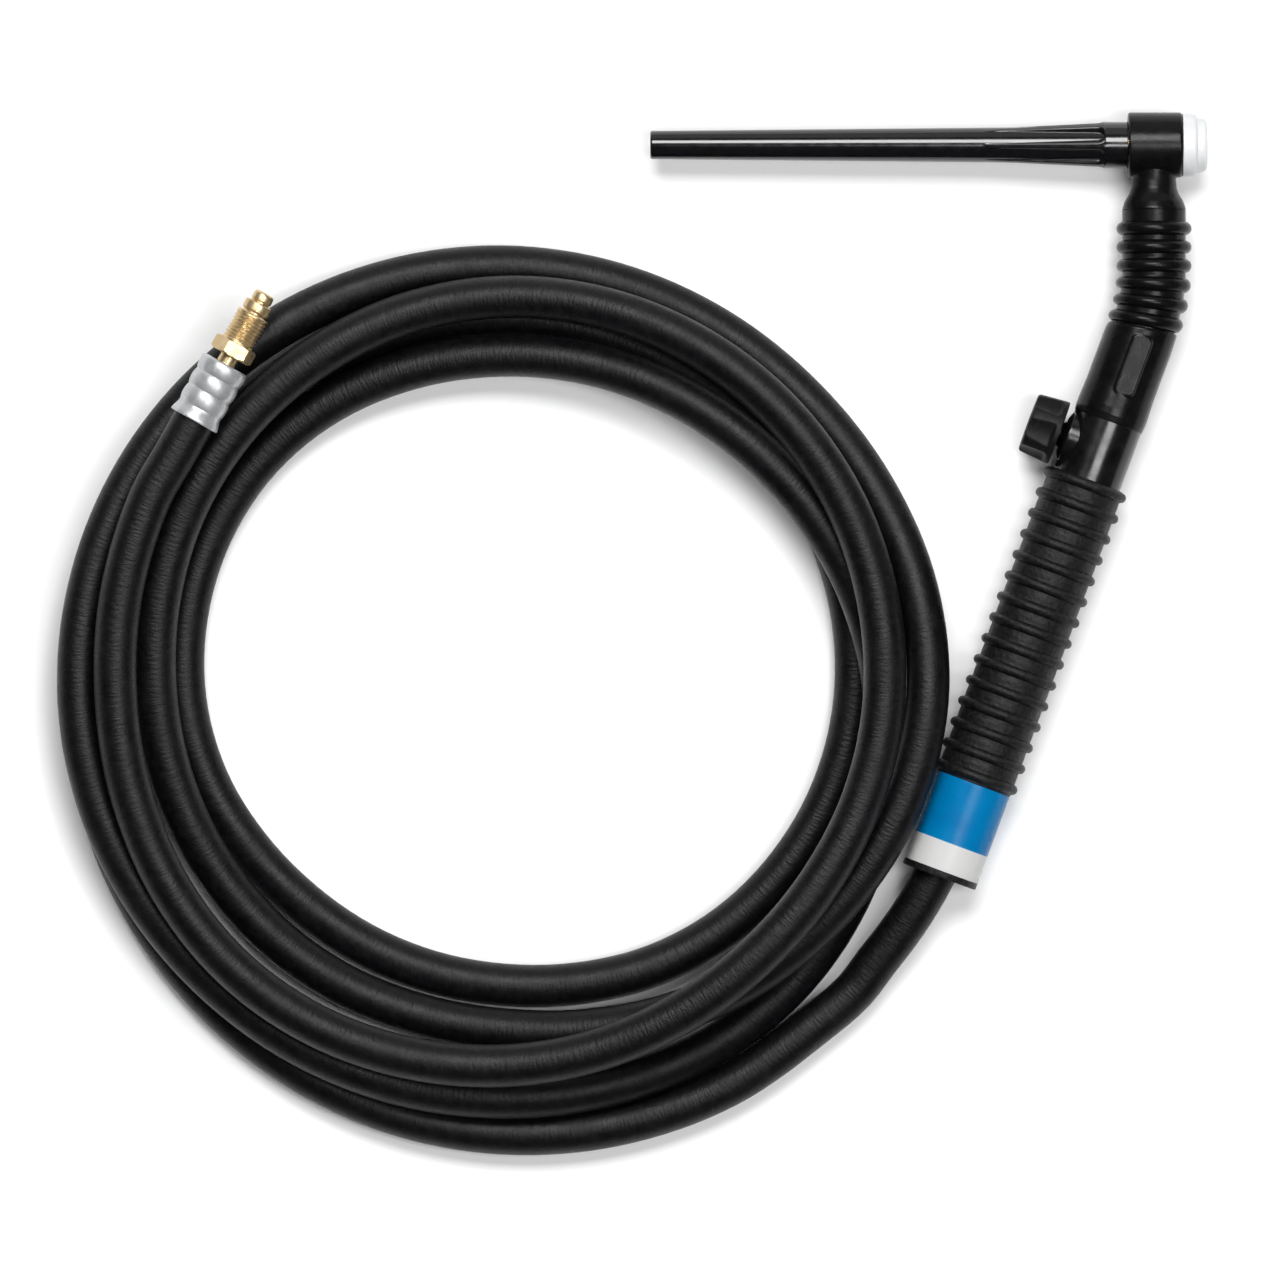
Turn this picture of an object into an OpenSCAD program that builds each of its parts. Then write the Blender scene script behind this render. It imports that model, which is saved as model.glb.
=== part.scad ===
// TIG torch with a flexible neck, a gas valve and a coiled one-piece hose.
// Millimetres. The origin is the centre of the collet bore's mouth, +X is the way the nozzle
// points, and +Z is up: the torch lies on its side, with its handle and hose on the table.

/* [Head] */
// Outside diameter of the head cover
head_d = 18.6; // [18:0.1:19.2]
// From the collet bore's mouth to the back of the head
head_length = 20.6; // [20:0.1:22]
// Length of the boss that the cup gasket sits on
gasket_seat = 5.1; // [4.5:0.1:5.5]
// Outside diameter of the cup gasket
gasket_d = 18; // [17:0.1:18.4]
// How far the cup gasket stands in front of the bore's mouth
gasket_lip = 2; // [1.5:0.1:3]
// Diameter of the bore for the collet body
collet_bore_d = 8.8; // [8.4:0.1:9.2]
// Depth of the bore for the collet body
collet_bore_depth = 9; // [8:0.1:9.4]
// Thread diameter of the back cap's insert
cap_thread_d = 9.7; // [9:0.1:10]

/* [Back cap] */
// Length of the back cap behind the head
cap_length = 136.5; // [100:0.5:150]
// Diameter at the cap's tip
cap_tip_d = 8.1; // [7.5:0.1:8.5]
// Diameter of the slim part where the grip begins
cap_slim_d = 9.9; // [9.5:0.1:10.2]
// Diameter of the grip at its thick end
cap_grip_d = 13.5; // [13:0.1:14]
// Length of the grip
cap_grip_length = 34; // [30:0.5:38]
// Length of the plain collar between grip and head
cap_collar_length = 6.8; // [5:0.1:8]
// Number of grip flutes
cap_flutes = 6; // [5:1:7]

/* [Neck] */
// Distance of the neck's axis behind the collet bore's mouth
neck_back = 13.15; // [12.8:0.05:13.4]
// From the head's axis to the point where the neck and handle axes cross
neck_drop = 43.8; // [43:0.1:46]
// Angle between the neck's axis and the handle's axis
neck_angle = 20.4; // [15:0.1:25]
// From the head's axis to the top of the bellows
bellows_drop = 18.6; // [18:0.1:19]
// Diameter in the valleys of the bellows
bellows_d = 18.2; // [18:0.1:18.6]
// Diameter over the ribs of the bellows
bellows_rib_d = 21.5; // [20.9:0.1:21.8]
// Number of bellows ribs
bellows_ribs = 6; // [4:1:6]
// Outside diameter of the copper neck tube
neck_tube_d = 6.35; // [6:0.05:6.5]

/* [Handle] */
// Diameter of the sleeve at the bellows
sleeve_top_d = 20.3; // [19.9:0.1:20.6]
// Diameter of the sleeve at its shoulder
sleeve_d = 20.8; // [20.6:0.1:21.4]
// Outside diameter of the cover round the valve block
valve_cover_d = 20.1; // [19.6:0.1:20.4]
// Outside diameter of the handle between its ribs
handle_d = 21.9; // [21.5:0.1:22.4]
// Diameter over the handle's ribs
rib_d = 25; // [24.4:0.1:25.6]
// Number of ribs on the handle
handle_ribs = 15; // [10:1:15]
// Distance from rib to rib
rib_pitch = 6.355; // [6:0.005:6.36]
// Bore of the handle
handle_bore_d = 18; // [17.6:0.1:18.2]
// Length of the label
label_length = 26.5; // [20:0.5:26.5]

/* [Valve] */
// Largest diameter of the valve knob
knob_d = 18.7; // [17:0.1:18.8]
// Length of the valve knob along its axis
knob_length = 9.4; // [8:0.1:11]
// Number of flutes round the knob
knob_flutes = 6; // [6:1:9]
// Diameter of the valve bonnet
bonnet_d = 8.6; // [8:0.1:9]

/* [Hose and fittings] */
// Outside diameter of the hose
hose_d = 12.2; // [11.6:0.1:12.2]
// Bore of the hose
hose_bore_d = 6; // [5.6:0.1:6.4]
// Length of the crimped ferrule
ferrule_length = 18.5; // [17:0.1:19]
// Thread diameter of the power and gas fitting
fitting_thread_d = 9.52; // [9:0.02:10]
// Width of the fitting's hex across its corners
hex_d = 12.8; // [12:0.1:13.4]

/* [Hidden] */
$fn = 48;

// Clearances
running_gap = 0.05;   // radial gap of a part that turns or slides in another
cut = 1;              // how far a cutter runs past a face
slab = 60;            // size of a cutter that takes all on one side of a plane

// Head, along X
metal_r = 7.4;
gasket_boss_r = 6.4;
gasket_bore_r = 5.2;
gasket_round = 1.6;
metal_back = head_length - 0.4;
cap_thread_start = 12;
seal_depth = 2.2;
seal_r = 6.3;
chamber_r = 3.6;
port_r = 4.6;
port_drop = 13;
neck_tube_r = neck_tube_d / 2;
gas_bore_r = 2.2;
tube_top_drop = 8;
cover_round = 0.6;
stub_r = 6.4;
stub_waist_drop = 11;
stub_flare = 4.6;

// Back cap, along -X from the back of the head
insert_r = cap_thread_d / 2 - running_gap;
insert_bore_r = 2.6;
insert_depth = 14;
o_ring_wire_r = 0.95;
o_ring_r = seal_r - running_gap - o_ring_wire_r;
groove_r = o_ring_r - o_ring_wire_r - running_gap;
cap_face = head_length + 0.1;
cap_tip = head_length + cap_length;
cap_grip_end = cap_face + cap_collar_length;
cap_grip_start = cap_grip_end + cap_grip_length;
cap_collar_r = cap_grip_d / 2 - 0.15;
cap_bore_r = 2.1;
cap_tip_wall = 4;
flute_r = 5.5;
flute_depth = 1.25;
flute_turn = 35;

// Neck path: straight down from the bellows' top, then a bend about an axis along Z
bend_tangent = 8.6;
bend_r = bend_tangent / tan(neck_angle / 2);
bend_start = neck_drop - bend_tangent - bellows_drop;
bend_arc = bend_r * neck_angle * PI / 180;
bellows_bore_r = 7.3;
rib_r = 1.9;
first_bellows_rib = 5.3;
bellows_rib_pitch = 5.3;

// Handle, measured along its axis from the crossing of the two axes
sleeve_from = 5;
sleeve_start = 9;
sleeve_slant = 8.8;
bellows_length = bend_start + bend_arc + sleeve_start - bend_tangent;
sleeve_waist = 27;
sleeve_shoulder = 33.6;
sleeve_end = 37.7;
block_top = 24;
tube_end = 34;
spigot_r = 6;
block_r = 8;
handle_start = 55.2;
block_end = 64;
first_rib = 56.8;
rib_wire_r = 1.15;
handle_bore_r = handle_bore_d / 2;
rib_to_label = 2.13;
label_start = first_rib + (handle_ribs - 1) * rib_pitch + rib_to_label;
label_r = handle_d / 2 + 0.05;
label_wall = 0.25;
end_rim = 1.9;
end_rim_r = handle_d / 2 + 0.1;
handle_end = label_start + label_length + end_rim;
pad_at = 20.4;
pad_aside = 0.9;
pad_length = 17.7;
pad_width = 5.6;
pad_corner = 1.5;
pad_top = sleeve_top_d / 2 + 0.1;

// Valve, along an axis square to the handle's
valve_at = 45.6;
valve_travel = 1.6;
boss_r = 7.8;
boss_end = 10.9;
boss_end_r = 5;
passage_r = 1.2;
needle_r = 1.9;
needle_end_gap = 0.1;
stem_r = 2;
stem_thread_r = 2.4;
stem_thread_from = 5;
stem_thread_to = 6.9;
bonnet_thread_r = 3.6;
bonnet_from = 5;
bonnet_flange = 8;
bonnet_end = 11.7;
stem_ring_at = 8.7;
gland_wire_r = 0.7;
gland_from = stem_ring_at - gland_wire_r - 0.1;
gland_to = stem_ring_at + valve_travel + gland_wire_r + 0.2;
gland_r = 3.05;
stem_ring_r = gland_r - running_gap - gland_wire_r;
knob_from = 11.9;
knob_rim = 1.3;
knob_end_d = knob_d - 1.6;
stem_grip = 6;
knob_flute_from = knob_from + knob_rim + 0.3;
knob_flute_r = 9;
knob_flute_depth = 0.8;
knob_turn = -10;

// Hose fittings, along their own axis from the ferrule's mouth
hose_r = hose_d / 2;
hose_bore_r = hose_bore_d / 2;
ferrule_wall_end = 1.3;
ferrule_r = hose_r + 0.4;
mouth_r = hose_r + 1.35;
mouth_length = 3.85;
bulges = 3;
bulge_r = 6;
bulge_rise = 0.85;
bulge_growth = 0.1;
bulge_pitch = (ferrule_length - mouth_length) / bulges;
shoulder = 1.6;
crimp_length = ferrule_length - ferrule_wall_end;
tail_from = 1;
fitting_neck_r = 3;
fitting_neck = 2.5;
hex_height = 4.3;
hex_turn = 40;
hex_chamfer = 0.6;
thread_length = 9.7;
fitting_thread_r = fitting_thread_d / 2;
collar_r = 4;
collar_length = 3.3;
nose_r = 2.7;
nose_length = 3.3;
fitting_bore_r = 1.5;
hex_from = ferrule_length + fitting_neck;
thread_from = hex_from + hex_height;

// Torch end of the hose, inside the handle: its fitting points up the handle
torch_mouth = block_end + 0.2 + hex_height + fitting_neck + ferrule_length;
lead_start = 140;

// Hose route. The table is level with the handle's ribs.
table_z = -rib_d / 2;
layer_step = hose_d + 0.45;
coil_centre = [-199.1, -158.6];
coil_first_angle = -45;
stations_per_loop = 8;
rings_per_loop = 24;
coil_sides = 6;
lead_sides = 8;

// The coil, loop by loop and clockwise from above: each pair is the radius and the height in
// hose layers of one eighth of a loop
coil_stations = [
    [129, 0], [124, 0], [119.5, 0], [118.5, 0], [112, 0], [109.9, 0], [106.5, 0], [100.5, 0],
    [91, 0], [81.5, 0], [81.5, 0], [91, 0], [98, 0], [98.5, 0.5], [101.5, 1.2], [109, 0.8],
    [115.5, 0.08], [113.5, 0.65], [115, 0.95], [121, 1.05],
    [124.2, 0.6], [124, 0.05], [122, 0.15], [121, 1.4],
    [107, 1.12], [94.1, 0.48], [94.1, 0.55], [98.9, 0.9],
    [108.5, 1.05], [115, 1.05], [114, 1.85], [108.5, 2],
    [102.5, 2.1], [104, 1.75], [107.9, 1.85], [110, 1.85], [118, 1.8]];
coil_last_station = 35 + 2 / 3;

// The ferrule lies on top of the coil
ferrule_mouth = [-287, -79, 16.4];
ferrule_angle = 60.6;

// The lead from the handle's bore down to the table
lead_route = [[-61.95, -175, 0], [-66.2, -186.4, 0], [-70.7, -197.7, -0.4], [-75.8, -208.5, -1.1],
    [-80.3, -216.6, -2.2], [-86, -225.2, -3.7], [-92.3, -233.4, -5.2]];

function station(i) = coil_stations[min(max(i, 0), len(coil_stations) - 1)];

// Smooth curve through four values, at t between the second and the third
function through(a, b, c, d, t) =
    0.5 * (2 * b + (c - a) * t + (2 * a - 5 * b + 4 * c - d) * t * t + (3 * b - a - 3 * c + d) * t * t * t);

function coil_place(k) =
    let (i = min(floor(k), len(coil_stations) - 2))
    through(station(i - 1), station(i), station(i + 1), station(i + 2), k - i);

function coil_point(k) =
    let (place = coil_place(k), angle = coil_first_angle - k * 360 / stations_per_loop)
    [coil_centre.x + place[0] * cos(angle), coil_centre.y + place[0] * sin(angle),
        table_z + hose_r + layer_step * place[1]];

function unit(v) = v / norm(v);

// Direction of a route at its point i
function heading(route, i) =
    unit(unit(route[min(i + 1, len(route) - 1)] - route[max(i - 1, 0)]));

// One ring of a tube, square to the route, with a corner pointing down
function ring(route, i, r, sides) =
    let (ahead = heading(route, i), side = unit(cross(ahead, [0, 0, 1])), up = cross(side, ahead))
    [for (j = [0 : sides - 1])
        route[i] + r * (side * sin(j * 360 / sides) - up * cos(j * 360 / sides))];

ferrule_heading = [cos(ferrule_angle), sin(ferrule_angle), 0];
coil_heading = unit(coil_point(0.1) - coil_point(0));
coil_start = coil_point(0) - coil_heading * hose_d;
coil_step = stations_per_loop / rings_per_loop;
coil_route = concat([coil_start],
    [for (k = [0 : coil_step : coil_last_station + 0.01]) coil_point(k)],
    [ferrule_mouth - ferrule_heading * hose_d, ferrule_mouth]);
lead_path = concat(lead_route, [coil_start - coil_heading * hose_d / 4, coil_start]);

function route_length(route) =
    len(route) < 2 ? 0 : [for (i = 1, s = 0; i <= len(route);
        s = s + (i < len(route) ? norm(route[i] - route[i - 1]) : 0), i = i + 1) s][len(route) - 1];

// Least gap between loops, measured on points between a third of a loop and the whole coil apart
coil_checks = [for (k = [0 : 1 / 6 : coil_last_station]) coil_point(k)];
coil_gap = min([for (i = [0 : len(coil_checks) - 20]) for (j = [i + 18 : len(coil_checks) - 1])
    norm(coil_checks[i] - coil_checks[j])]) - hose_d;
echo(coil_gap = coil_gap, coil_length = route_length(coil_route), lead_length = route_length(lead_path));

// Helpers

// Solid of revolution about X, from points [radius, x]
module turned(points) {
    rotate([0, 90, 0]) rotate_extrude() polygon(points);
}

// Straight round bar along X
module bar(r, from, to) {
    translate([from, 0, 0]) rotate([0, 90, 0]) cylinder(r = r, h = to - from);
}

// Torus about X
module torus(ring_r, wire_r, at) {
    translate([at, 0, 0]) rotate([0, 90, 0]) rotate_extrude() translate([ring_r, 0]) circle(r = wire_r);
}

// Puts X along the handle, from the crossing of the neck and handle axes
module on_handle() {
    translate([-neck_back, -neck_drop, 0]) rotate([0, 0, -90 - neck_angle]) children();
}

// Puts X along the valve, outward from the handle's axis
module on_valve() {
    on_handle() translate([valve_at, 0, 0]) rotate([0, 0, -90]) children();
}

// Puts X along the ferrule and fitting at the hose's end
module on_ferrule() {
    translate(ferrule_mouth) rotate([0, 0, ferrule_angle]) children();
}

// Puts X up the handle, from the mouth of the ferrule inside it
module on_torch_ferrule() {
    on_handle() translate([torch_mouth, 0, 0]) rotate([0, 0, 180]) children();
}

// Puts X along the neck's path, at a length below the bellows' top
module on_neck(length) {
    bent = min(max(length - bend_start, 0), bend_arc);
    straight = length - bend_start - bent;
    translate([-neck_back - bend_r, -bellows_drop - bend_start, 0])
        rotate([0, 0, -bent / bend_r * 180 / PI])
        translate([bend_r, -straight, 0]) rotate([0, 0, -90]) children();
}

// The same, where the bellows' rings lean back towards the slanted end of the sleeve
module leaning(length) {
    lean = sleeve_slant * max(length - bend_start, 0) / (bellows_length - bend_start);
    on_neck(length) rotate([0, 0, lean]) children();
}

// Round bar along the neck's path, from a length above the bellows' top to a length below it
module neck_bar(r, above, below) {
    on_neck(0) bar(r, -above, bend_start);
    translate([-neck_back - bend_r, -bellows_drop - bend_start, 0])
        rotate([0, 0, -neck_angle]) rotate_extrude(angle = neck_angle) translate([bend_r, 0]) circle(r = r);
    on_neck(bend_start + bend_arc) bar(r, 0, below - bend_start - bend_arc);
}

// Everything on the head's side of the slanted end of the sleeve
module above_sleeve(shift) {
    on_handle() translate([sleeve_start + shift, 0, 0]) rotate([0, 0, sleeve_slant])
        translate([-slab, -slab / 2, -slab / 2]) cube(slab);
}

module tube(route, r, sides) {
    last = len(route) - 1;
    points = [for (i = [0 : last]) each ring(route, i, r, sides)];
    walls = [for (i = [0 : last - 1]) for (j = [0 : sides - 1])
        let (a = i * sides + j, b = i * sides + (j + 1) % sides)
        each [[a, b, b + sides], [a, b + sides, a + sides]]];
    caps = [for (j = [1 : sides - 2])
        each [[0, j + 1, j], [last * sides, last * sides + j, last * sides + j + 1]]];
    polyhedron(points, concat(walls, caps));
}

// Crimped ferrule: three bulges stand in a row behind a flared mouth
module crimped_ferrule() {
    color("silver") rotate([0, 90, 0]) rotate_extrude() difference() {
        intersection() {
            union() {
                square([ferrule_r, ferrule_length]);
                polygon([[0, 0], [mouth_r, 0], [mouth_r, 0.3], [ferrule_r, mouth_length], [0, mouth_length]]);
                for (i = [0 : bulges - 1])
                    translate([0, mouth_length + bulge_pitch * (i + 0.5)]) intersection() {
                        translate([hose_r + bulge_rise + i * bulge_growth - bulge_r, 0]) circle(r = bulge_r);
                        translate([0, -bulge_pitch / 2]) square([mouth_r, bulge_pitch]);
                    }
            }
            polygon([[0, 0], [hose_r + 2, 0], [hose_r + 2, ferrule_length - shoulder],
                [hose_r, ferrule_length], [0, ferrule_length]]);
        }
        translate([0, -cut]) square([hose_r, crimp_length + cut]);
        square([fitting_neck_r, ferrule_length + cut]);
    }
}

// Barb in the hose, neck, hex and thread
module hose_fitting() {
    hex_flat_r = hex_d / 2 * cos(30);
    bar(hose_bore_r, tail_from, crimp_length);
    bar(fitting_neck_r, crimp_length - 0.1, hex_from + 0.1);
    intersection() {
        rotate([hex_turn, 0, 0]) translate([hex_from, 0, 0]) rotate([0, 90, 0])
            cylinder(d = hex_d, h = hex_height, $fn = 6);
        turned([[0, hex_from], [hex_flat_r, hex_from], [hex_d / 2 + 0.1, hex_from + hex_chamfer],
            [hex_d / 2 + 0.1, thread_from - hex_chamfer], [hex_flat_r, thread_from], [0, thread_from]]);
    }
    bar(fitting_thread_r, thread_from - 0.1, thread_from + thread_length);
}

// Head

module head_body() {
    color("peru") difference() {
        union() {
            bar(gasket_boss_r, -gasket_seat - 0.1, 0);
            bar(metal_r, -metal_back, -gasket_seat);
            on_neck(0) bar(port_r, -bellows_drop, port_drop - bellows_drop);
        }
        bar(collet_bore_d / 2, -collet_bore_depth, cut);
        bar(chamber_r, -cap_thread_start - cut, -collet_bore_depth + cut);
        bar(cap_thread_d / 2, -metal_back - cut, -cap_thread_start);
        bar(seal_r, -metal_back - cut, -metal_back + seal_depth);
        on_neck(0) bar(gas_bore_r, -bellows_drop, cut);
        on_neck(0) bar(neck_tube_r, tube_top_drop - bellows_drop, cut);
    }
}

module head_cover() {
    color("#1c1c1e") difference() {
        union() {
            turned([[0, -head_length], [head_d / 2 - cover_round, -head_length],
                [head_d / 2, -head_length + cover_round], [head_d / 2, -gasket_seat - cover_round],
                [head_d / 2 - cover_round, -gasket_seat], [0, -gasket_seat]]);
            on_neck(0) turned([[0, -bellows_drop], [stub_r, -bellows_drop],
                [stub_r, stub_waist_drop - bellows_drop], [stub_r + 0.7, -stub_flare],
                [bellows_d / 2 - 0.6, -2], [bellows_d / 2, 0], [0, 0]]);
        }
        bar(metal_r, -metal_back, -gasket_seat + cut);
        bar(seal_r + 0.5, -head_length - cut, -metal_back + cut / 2);
        on_neck(0) bar(port_r, -bellows_drop, port_drop - bellows_drop);
        on_neck(0) bar(port_r - 0.6, -bellows_drop, cut);
        on_neck(0) turned([[0, port_drop - bellows_drop], [port_r, port_drop - bellows_drop],
            [bellows_bore_r - 0.8, cut], [0, cut]]);
    }
}

module cup_gasket() {
    color("white") turned([[gasket_boss_r, -gasket_seat], [gasket_d / 2, -gasket_seat],
        [gasket_d / 2, gasket_lip - gasket_round],
        [gasket_d / 2 - 0.3 * gasket_round, gasket_lip - 0.3 * gasket_round],
        [gasket_d / 2 - gasket_round, gasket_lip], [gasket_bore_r + 0.7, gasket_lip],
        [gasket_bore_r, gasket_lip - 0.7], [gasket_bore_r, 0], [gasket_boss_r, 0]]);
}

// Back cap

module cap_flute() {
    tilt = atan((cap_grip_d / 2 - flute_depth - cap_slim_d / 2) / cap_grip_length);
    translate([-cap_grip_end - 0.4 - flute_r / 2, 0, cap_grip_d / 2 - flute_depth + flute_r])
        rotate([0, -90 - tilt, 0]) {
            cylinder(r = flute_r, h = cap_grip_length + cap_grip_length / 4);
            sphere(r = flute_r);
        }
}

module back_cap() {
    color("#0c0c0e") difference() {
        turned([[0, -cap_tip], [cap_tip_d / 2 - 0.7, -cap_tip], [cap_tip_d / 2 - 0.2, -cap_tip + 0.2],
            [cap_tip_d / 2, -cap_tip + 0.7], [cap_slim_d / 2, -cap_grip_start],
            [cap_grip_d / 2, -cap_grip_end - 0.6],
            [cap_grip_d / 2, -cap_grip_end], [cap_collar_r, -cap_grip_end + 0.1],
            [cap_collar_r, -cap_face], [0, -cap_face]]);
        for (i = [0 : cap_flutes - 1])
            rotate([flute_turn + i * 360 / cap_flutes, 0, 0]) cap_flute();
        bar(insert_r, -cap_face - insert_depth, -cap_face + cut);
        bar(cap_bore_r, -cap_tip + cap_tip_wall, -cap_face);
    }
}

module back_cap_insert() {
    color("goldenrod") difference() {
        turned([[0, -cap_face - insert_depth], [insert_r, -cap_face - insert_depth],
            [insert_r, -cap_face], [groove_r, -cap_face], [groove_r, -metal_back + seal_depth],
            [insert_r, -metal_back + seal_depth], [insert_r, -cap_thread_start - 0.6],
            [0, -cap_thread_start - 0.6]]);
        bar(insert_bore_r, -cap_tip, 0);
    }
}

module back_cap_o_ring() {
    color("#303030") torus(o_ring_r, o_ring_wire_r, -metal_back + seal_depth / 2);
}

// Neck

module neck_tube() {
    color("chocolate") difference() {
        neck_bar(neck_tube_r, bellows_drop - tube_top_drop, bend_start + bend_arc + tube_end - bend_tangent);
        neck_bar(gas_bore_r, bellows_drop, bend_start + bend_arc + tube_end);
    }
}

module flex_bellows() {
    color("#1c1c1e") difference() {
        intersection() {
            union() {
                neck_bar(bellows_d / 2, 0, bend_start + bend_arc + sleeve_start);
                for (i = [0 : bellows_ribs - 1])
                    leaning(first_bellows_rib + i * bellows_rib_pitch)
                        torus(bellows_rib_d / 2 - rib_r, rib_r, 0);
            }
            above_sleeve(0);
        }
        neck_bar(bellows_bore_r, cut, bend_start + bend_arc + 2 * sleeve_start);
    }
}

module neck_sleeve() {
    color("#222224") difference() {
        union() {
            on_handle() turned([[0, sleeve_from], [sleeve_top_d / 2, sleeve_from],
                [sleeve_top_d / 2, sleeve_waist], [sleeve_d / 2, sleeve_shoulder],
                [sleeve_d / 2, sleeve_shoulder + 2],
                [valve_cover_d / 2 + 0.1, sleeve_end], [0, sleeve_end]]);
            on_handle() sleeve_pad(0, pad_top);
        }
        on_handle() sleeve_pad(pad_top, sleeve_d);
        above_sleeve(0);
        on_handle() bar(spigot_r, block_top - cut, sleeve_end + cut);
        on_handle() bar(bellows_bore_r + 0.4, 0, block_top);
    }
}

// Stock of the flat, round-cornered pad on the upper side of the sleeve, between two heights
module sleeve_pad(from, to) {
    translate([pad_at, pad_aside, from]) linear_extrude(to - from) offset(r = pad_corner)
        square([pad_length - 2 * pad_corner, pad_width - 2 * pad_corner], center = true);
}

// Valve

module valve_cover() {
    color("#0a0a0c") difference() {
        union() {
            on_handle() bar(valve_cover_d / 2, sleeve_end, handle_start);
            on_valve() turned([[0, 0], [boss_r, 0], [boss_r, valve_cover_d / 2 - 0.5],
                [boss_r - 0.6, valve_cover_d / 2 + 0.1], [boss_end_r, boss_end], [0, boss_end]]);
        }
        on_handle() bar(block_r, sleeve_end - cut, handle_start + cut);
        on_valve() bar(bonnet_d / 2 + 0.2, 0, valve_cover_d);
    }
}

module valve_block() {
    color("goldenrod") difference() {
        on_handle() turned([[0, block_top], [spigot_r, block_top], [spigot_r, sleeve_end],
            [block_r, sleeve_end], [block_r, handle_start], [handle_bore_r, handle_start],
            [handle_bore_r, block_end], [0, block_end]]);
        on_handle() bar(neck_tube_r, block_top - cut, tube_end);
        on_handle() bar(passage_r, tube_end - cut, block_end - thread_length + cut);
        on_handle() bar(fitting_thread_r, block_end - thread_length + 0.2, block_end + cut);
        on_valve() bar(needle_r + running_gap, -needle_r, block_r + cut);
        on_valve() bar(bonnet_thread_r, bonnet_from, block_r + cut);
    }
}

module valve_bonnet() {
    color("silver") difference() {
        on_valve() turned([[0, bonnet_from], [bonnet_thread_r, bonnet_from],
            [bonnet_thread_r, bonnet_flange], [bonnet_d / 2, bonnet_flange + 0.1],
            [bonnet_d / 2, bonnet_flange + 2], [bonnet_d / 2 - 0.3, bonnet_flange + 2.8],
            [bonnet_d / 2 - 0.8, bonnet_end], [0, bonnet_end]]);
        on_valve() bar(stem_thread_r + running_gap, 0, gland_from);
        on_valve() bar(gland_r, gland_from - 0.1, gland_to);
        on_valve() bar(stem_r + running_gap, gland_to - 0.1, bonnet_end + cut);
    }
}

module valve_stem() {
    color("goldenrod") on_valve() turned([[0, -needle_r + needle_end_gap],
        [needle_r, -needle_r + needle_end_gap],
        [needle_r, stem_thread_from], [stem_thread_r, stem_thread_from],
        [stem_thread_r, stem_thread_to], [stem_r, stem_thread_to],
        [stem_r, stem_ring_at - 0.8], [stem_ring_r - gland_wire_r - running_gap, stem_ring_at - 0.8],
        [stem_ring_r - gland_wire_r - running_gap, stem_ring_at + 0.8], [stem_r, stem_ring_at + 0.8],
        [stem_r, knob_from + stem_grip], [0, knob_from + stem_grip]]);
}

module stem_o_ring() {
    color("#303030") on_valve() torus(stem_ring_r, gland_wire_r, stem_ring_at);
}

module valve_knob() {
    color("#141416") difference() {
        on_valve() turned([[0, knob_from], [knob_d / 2 - 0.5, knob_from], [knob_d / 2, knob_from + 0.4],
            [knob_d / 2, knob_from + knob_rim], [knob_end_d / 2, knob_from + knob_length - 0.8],
            [knob_end_d / 2 - 0.8, knob_from + knob_length], [0, knob_from + knob_length]]);
        for (i = [0 : knob_flutes - 1])
            on_valve() rotate([knob_turn + i * 360 / knob_flutes, 0, 0])
                translate([0, 0, knob_end_d / 2 - knob_flute_depth + knob_flute_r])
                bar(knob_flute_r, knob_flute_from, knob_from + knob_length + cut);
        on_valve() bar(stem_r, knob_from - cut, knob_from + stem_grip);
    }
}

// Handle

module handle() {
    color("#232325") on_handle() rotate([0, 90, 0]) rotate_extrude() difference() {
        union() {
            translate([0, handle_start]) square([handle_d / 2, label_start - handle_start]);
            translate([0, label_start - cut]) square([label_r - label_wall, label_length + 2 * cut]);
            translate([0, handle_end - end_rim]) square([end_rim_r, end_rim]);
            for (i = [0 : handle_ribs - 1])
                translate([0, first_rib + i * rib_pitch]) {
                    translate([rib_d / 2 - rib_wire_r, 0]) circle(r = rib_wire_r);
                    translate([0, -rib_wire_r]) square([rib_d / 2 - rib_wire_r, 2 * rib_wire_r]);
                }
        }
        translate([0, handle_start - cut]) square([handle_bore_r, handle_end - handle_start + 2 * cut]);
    }
}

module handle_label() {
    color("#0a78c8") on_handle() difference() {
        bar(label_r, label_start, label_start + label_length);
        bar(label_r - label_wall, label_start - cut, label_start + label_length + cut);
    }
}

// Hose, torch end

module torch_fitting() {
    color("goldenrod") difference() {
        on_torch_ferrule() hose_fitting();
        on_torch_ferrule() bar(fitting_bore_r, 0, thread_from + thread_length + cut);
    }
}

module torch_ferrule() {
    on_torch_ferrule() crimped_ferrule();
}

module hose_torch_end() {
    color("#18181a") on_handle() difference() {
        bar(hose_r, torch_mouth - crimp_length, lead_start);
        bar(hose_bore_r, torch_mouth - crimp_length - cut, lead_start + cut);
    }
}

module torch_conductor() {
    color("peru") on_handle() bar(fitting_bore_r, torch_mouth - crimp_length + 4, lead_start);
}

// Hose

module hose_lead() {
    color("#18181a") tube(lead_path, hose_r, lead_sides);
}

module hose_coil() {
    color("#18181a") tube(coil_route, hose_r, coil_sides);
}

// Hose, machine end

module hose_power_end() {
    color("#18181a") on_ferrule() difference() {
        bar(hose_r, 0, crimp_length);
        bar(hose_bore_r, -cut, crimp_length + cut);
    }
}

module hose_ferrule() {
    on_ferrule() crimped_ferrule();
}

module power_fitting() {
    collar_from = thread_from + thread_length;
    nose_end = collar_from + collar_length + nose_length;
    color("goldenrod") on_ferrule() difference() {
        union() {
            hose_fitting();
            bar(collar_r, collar_from - 0.1, collar_from + collar_length);
            turned([[0, collar_from], [nose_r, collar_from], [nose_r, nose_end - 1],
                [nose_r - 0.3, nose_end - 0.3], [nose_r - 1, nose_end], [0, nose_end]]);
        }
        bar(fitting_bore_r, 0, nose_end + cut);
    }
}

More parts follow.
